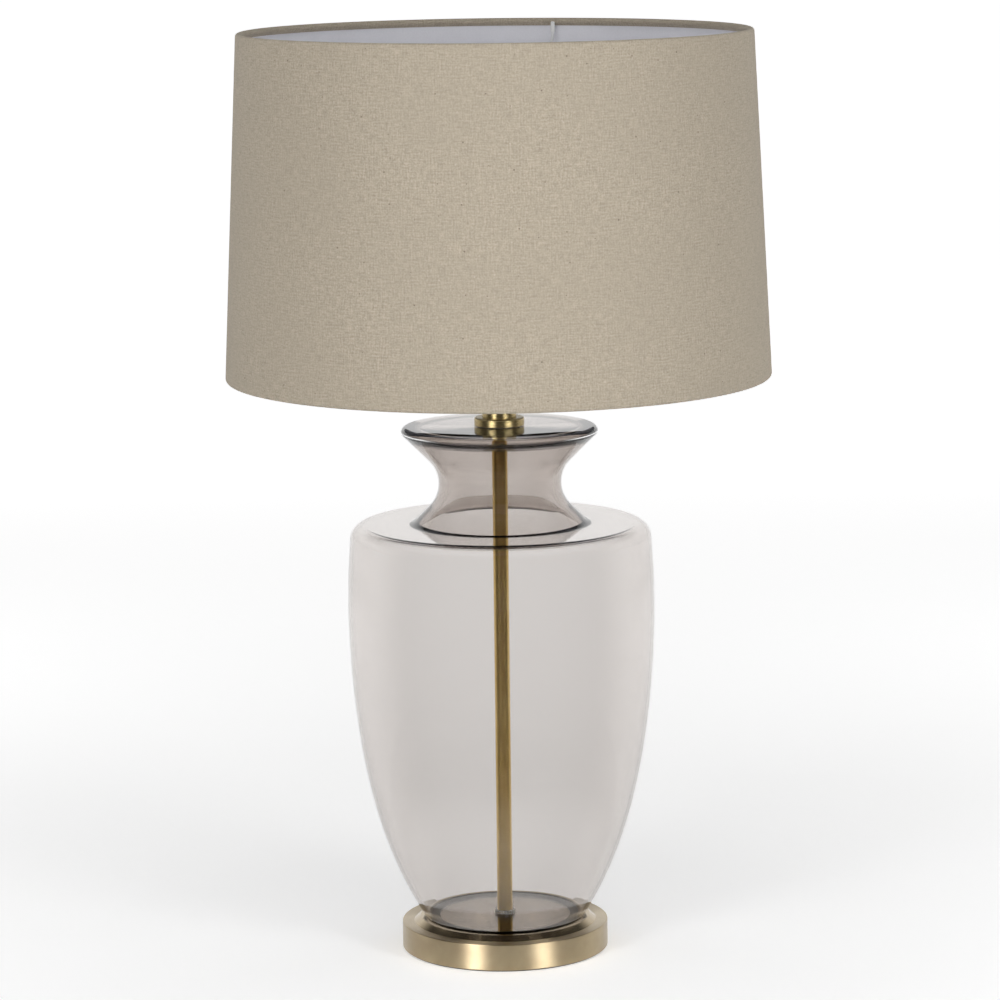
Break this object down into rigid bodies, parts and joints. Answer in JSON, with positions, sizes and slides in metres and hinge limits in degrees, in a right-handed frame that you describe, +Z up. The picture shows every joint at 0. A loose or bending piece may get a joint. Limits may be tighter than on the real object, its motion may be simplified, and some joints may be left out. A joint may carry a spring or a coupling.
{
  "type": "candlestick lamp",
  "caption": "Table lamp: a tinted blown-glass vase on a stepped brass foot, a slim brass stem inside it, and a large tapered drum shade of taupe linen on a white wire gimbal.",
  "frame": {"origin": "centre of the foot's underside, on the surface that the lamp stands on", "axes": "+Z up along the stem, -Y towards the viewer, +Y to the rear where the cable inlet is, +X to the viewer's right"},
  "size_m": [0.4098, 0.4098, 0.699],
  "materials": {
    "antique_brass": "brushed and aged, lacquered",
    "smoke_glass": "clear blown glass with a faint smoky brown-mauve tint",
    "cast_iron": "as cast, dark",
    "felt": "dense felt",
    "zinc_steel": "zinc plated",
    "plain_brass": "turned",
    "spring_steel": "drawn",
    "black_rubber": "moulded",
    "clear_nylon": "translucent",
    "bakelite": "moulded black",
    "white_enamel": "white powder coat",
    "white_sleeve": "dipped white coating",
    "liner_film": "smooth white laminate",
    "shade_linen": "plain-woven taupe linen"
  },
  "bodies": {
    "stand": {"base_shell": "antique_brass", "stem_tube": "antique_brass", "collar_base": "antique_brass", "collar_cap": "antique_brass", "riser_tube": "antique_brass", "neck_washer": "antique_brass", "lampholder_cap": "antique_brass", "lampholder_skirt": "antique_brass", "glass_body": "smoke_glass", "base_ballast": "cast_iron", "felt_pad": "felt", "base_washer": "zinc_steel", "base_nut": "zinc_steel", "threaded_rod": "zinc_steel", "stem_nut": "zinc_steel", "entry_grub_screw": "zinc_steel", "terminal_screws": "zinc_steel", "terminal_posts": "plain_brass", "plunger_spring_front": "spring_steel", "plunger_spring_rear": "spring_steel", "cable_grommet": "black_rubber", "lower_gasket": "black_rubber", "upper_gasket": "black_rubber", "floor_bush": "clear_nylon", "top_bush": "clear_nylon", "lampholder_insulator": "bakelite"},
    "lower_ring": {"shade_lower_ring": "bakelite"},
    "shade": {"gimbal_ring": "white_enamel", "gimbal_arm_1": "white_enamel", "gimbal_arm_2": "white_enamel", "gimbal_arm_3": "white_enamel", "arm_sleeves": "white_sleeve", "top_wire_ring": "white_enamel", "bottom_wire_ring": "white_enamel", "shade_liner": "liner_film", "shade_fabric": "shade_linen"},
    "lock_ring": {"shade_lock_ring": "bakelite"},
    "push_bar": {"push_bar": "bakelite"},
    "plunger_front": {"plunger_front": "plain_brass"},
    "plunger_rear": {"plunger_rear": "plain_brass"}
  },
  "joints": [
    {"name": "shade_swivel", "type": "hinge", "parent": "stand", "child": "lower_ring", "pos_m": [0, 0, 0.502], "axis": [0, 0, 1], "continuous": true},
    {"name": "shade_lift", "type": "slide", "parent": "lower_ring", "child": "shade", "axis": [0, 0, 1], "range_m": [0, 0.06]},
    {"name": "lock_ring_turn", "type": "hinge", "parent": "shade", "child": "lock_ring", "pos_m": [0, 0, 0.5077], "axis": [0, 0, 1], "continuous": true},
    {"name": "push_bar_slide", "type": "slide", "parent": "stand", "child": "push_bar", "axis": [-1, 0, 0], "range_m": [0, 0.006]},
    {"name": "plunger_front_press", "type": "slide", "parent": "stand", "child": "plunger_front", "axis": [0, 0, -1], "range_m": [0, 0.0045], "stiffness_N_per_m": 600, "springref_m": -0.003, "deforming": ["plunger_spring_front"]},
    {"name": "plunger_rear_press", "type": "slide", "parent": "stand", "child": "plunger_rear", "axis": [0, 0, -1], "range_m": [0, 0.0045], "stiffness_N_per_m": 600, "springref_m": -0.003, "deforming": ["plunger_spring_rear"]}
  ]
}
